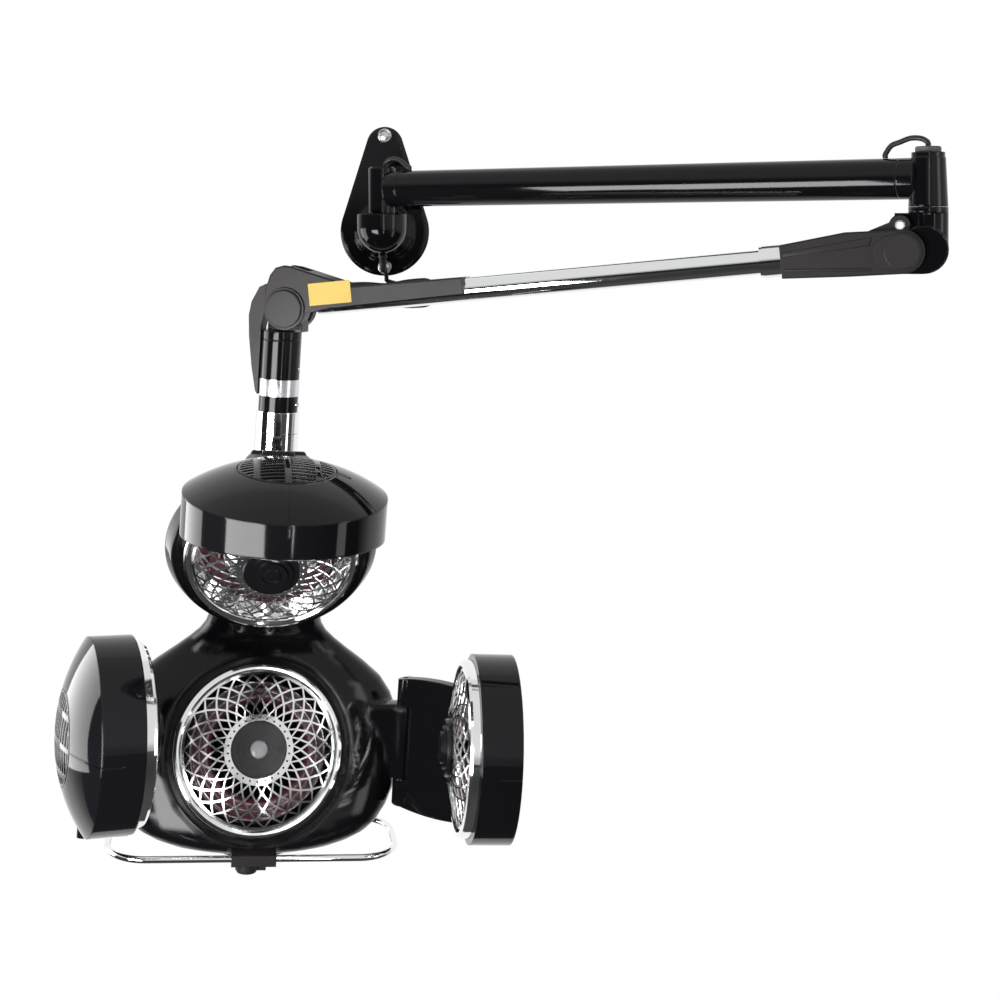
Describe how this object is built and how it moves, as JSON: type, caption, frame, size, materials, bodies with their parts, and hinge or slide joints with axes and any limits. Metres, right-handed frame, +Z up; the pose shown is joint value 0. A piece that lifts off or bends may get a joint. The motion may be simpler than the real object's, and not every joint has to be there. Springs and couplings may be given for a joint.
{
  "type": "wall-mounted hood dryer",
  "caption": "Wall-mounted infrared hood dryer: a two-section swing arm carries a black body with domed wire-grille heads, hinged wing heads and a guard ring.",
  "frame": {"origin": "centre of the wall plate's back face", "axes": "+X along the wall to the viewer's right, -Y out from the wall into the room, +Z up"},
  "size_m": [1.0751, 0.6205, 0.9958],
  "materials": {
    "gloss_black": "gloss",
    "painted_black": "gloss",
    "satin_black": "satin",
    "cap_grey": "satin",
    "cable_black": "matte",
    "chrome": "mirror",
    "steel": "satin",
    "bright_wire": "mirror",
    "ruby_glass": "gloss",
    "switch_red": "gloss"
  },
  "bodies": {
    "wall": {"wall_plate": "painted_black", "bearing_bowl": "painted_black", "wall_spindle": "steel", "mains_lead": "cable_black", "mains_hank": "cable_black", "mains_plug": "satin_black"},
    "arm": {"wall_barrel": "painted_black", "arm_tube": "painted_black", "outer_barrel": "painted_black", "barrel_cap": "cap_grey", "arm_cables": "cable_black"},
    "shoulder": {"shoulder_housing": "painted_black", "shoulder_pins": "steel"},
    "forearm": {"shoulder_cover": "satin_black", "pivot_caps": "satin_black", "forearm_collar": "chrome", "forearm_tube": "chrome", "balance_spring": "steel", "elbow_cover": "satin_black", "elbow_pin": "steel"},
    "rod": {"rod_clevis": "satin_black", "tension_rod": "chrome"},
    "hanger": {"elbow_head": "painted_black", "cable_cover": "satin_black", "hanger_tube": "painted_black", "upper_collar": "chrome"},
    "hood": {"hood_stem": "chrome", "lower_collar": "chrome", "body_shell": "gloss_black", "body_reflectors": "chrome", "body_lamps": "ruby_glass", "body_grilles": "bright_wire", "body_hubs": "satin_black", "guard_ring": "chrome", "ring_clamp": "satin_black", "control_panel": "satin_black"},
    "dial": {"timer_dial": "satin_black"},
    "switch": {"power_switch": "switch_red"},
    "knob": {"clamp_knob": "satin_black"},
    "left_arm": {"left_link": "gloss_black", "left_link_pins": "steel"},
    "left_head": {"left_shell": "gloss_black", "left_reflector": "chrome", "left_lamp": "ruby_glass", "left_grille": "bright_wire", "left_hub": "satin_black"},
    "right_arm": {"right_link": "gloss_black", "right_link_pins": "steel"},
    "right_head": {"right_shell": "gloss_black", "right_reflector": "chrome", "right_lamp": "ruby_glass", "right_grille": "bright_wire", "right_hub": "satin_black"},
    "top_arm": {"top_link": "gloss_black", "top_link_pins": "steel"},
    "top_head": {"top_shell": "gloss_black", "top_reflector": "chrome", "top_lamp": "ruby_glass", "top_grille": "bright_wire", "top_hub": "satin_black"}
  },
  "joints": [
    {"name": "arm_swing", "type": "hinge", "parent": "wall", "child": "arm", "pos_m": [0, -0.06, 0], "axis": [0, 0, 1], "range_deg": [-3, 24]},
    {"name": "forearm_swing", "type": "hinge", "parent": "arm", "child": "shoulder", "pos_m": [0.67685, -0.39452, 0], "axis": [0, 0, 1], "range_deg": [0, 200]},
    {"name": "forearm_lift", "type": "hinge", "parent": "shoulder", "child": "forearm", "pos_m": [0.64787, -0.38673, -0.0723], "axis": [0.2595, 0.9657, 0], "range_deg": [-18, 12]},
    {"name": "rod_tilt", "type": "hinge", "parent": "shoulder", "child": "rod", "pos_m": [0.64536, -0.38606, -0.0406], "axis": [0.2595, 0.9657, 0], "range_deg": [-17, 12]},
    {"name": "hood_level", "type": "hinge", "parent": "forearm", "child": "hanger", "pos_m": [-0.11219, -0.18251, -0.14739], "axis": [0.2595, 0.9657, 0], "range_deg": [-12, 18]},
    {"name": "hood_swivel", "type": "hinge", "parent": "hanger", "child": "hood", "pos_m": [-0.12183, -0.17992, -0.14678], "axis": [0.059, -0.0158, 0.9981], "range_deg": [-45, 45]},
    {"name": "left_arm_swing", "type": "hinge", "parent": "hood", "child": "left_arm", "pos_m": [-0.35439, -0.17505, -0.72206], "axis": [0.059, -0.0158, 0.9981], "range_deg": [-30, 15]},
    {"name": "left_head_swing", "type": "hinge", "parent": "left_arm", "child": "left_head", "pos_m": [-0.35292, -0.29002, -0.72398], "axis": [0.059, -0.0158, 0.9981], "range_deg": [-30, 30]},
    {"name": "right_arm_swing", "type": "hinge", "parent": "hood", "child": "right_arm", "pos_m": [0.03106, -0.10707, -0.74375], "axis": [0.059, -0.0158, 0.9981], "range_deg": [-45, 15]},
    {"name": "right_head_swing", "type": "hinge", "parent": "right_arm", "child": "right_head", "pos_m": [0.1314, -0.16284, -0.75056], "axis": [0.059, -0.0158, 0.9981], "range_deg": [-30, 30]},
    {"name": "top_arm_lift", "type": "hinge", "parent": "hood", "child": "top_arm", "pos_m": [-0.11719, -0.26656, -0.33578], "axis": [-0.9833, -0.1734, 0.0553], "range_deg": [-2, 24]},
    {"name": "top_head_tip", "type": "hinge", "parent": "top_arm", "child": "top_head", "pos_m": [-0.09836, -0.37874, -0.35271], "axis": [-0.9833, -0.1734, 0.0553], "range_deg": [-15, 20]},
    {"name": "timer_turn", "type": "hinge", "parent": "hood", "child": "dial", "pos_m": [-0.20861, -0.03747, -0.7365], "axis": [-0.1722, 0.9847, 0.0258], "range_deg": [0, 270]},
    {"name": "switch_rock", "type": "hinge", "parent": "hood", "child": "switch", "pos_m": [-0.14867, -0.03188, -0.74366], "axis": [0.9833, 0.1734, -0.0553], "range_deg": [0, 9]},
    {"name": "knob_turn", "type": "hinge", "parent": "hood", "child": "knob", "pos_m": [-0.16733, -0.19747, -0.86572], "axis": [0.059, -0.0158, 0.9981], "range_deg": [0, 180]}
  ],
  "couplings": [
    {"joint": "rod_tilt", "follows": "forearm_lift", "ratio": 0.93},
    {"joint": "hood_level", "follows": "forearm_lift", "ratio": -1}
  ]
}
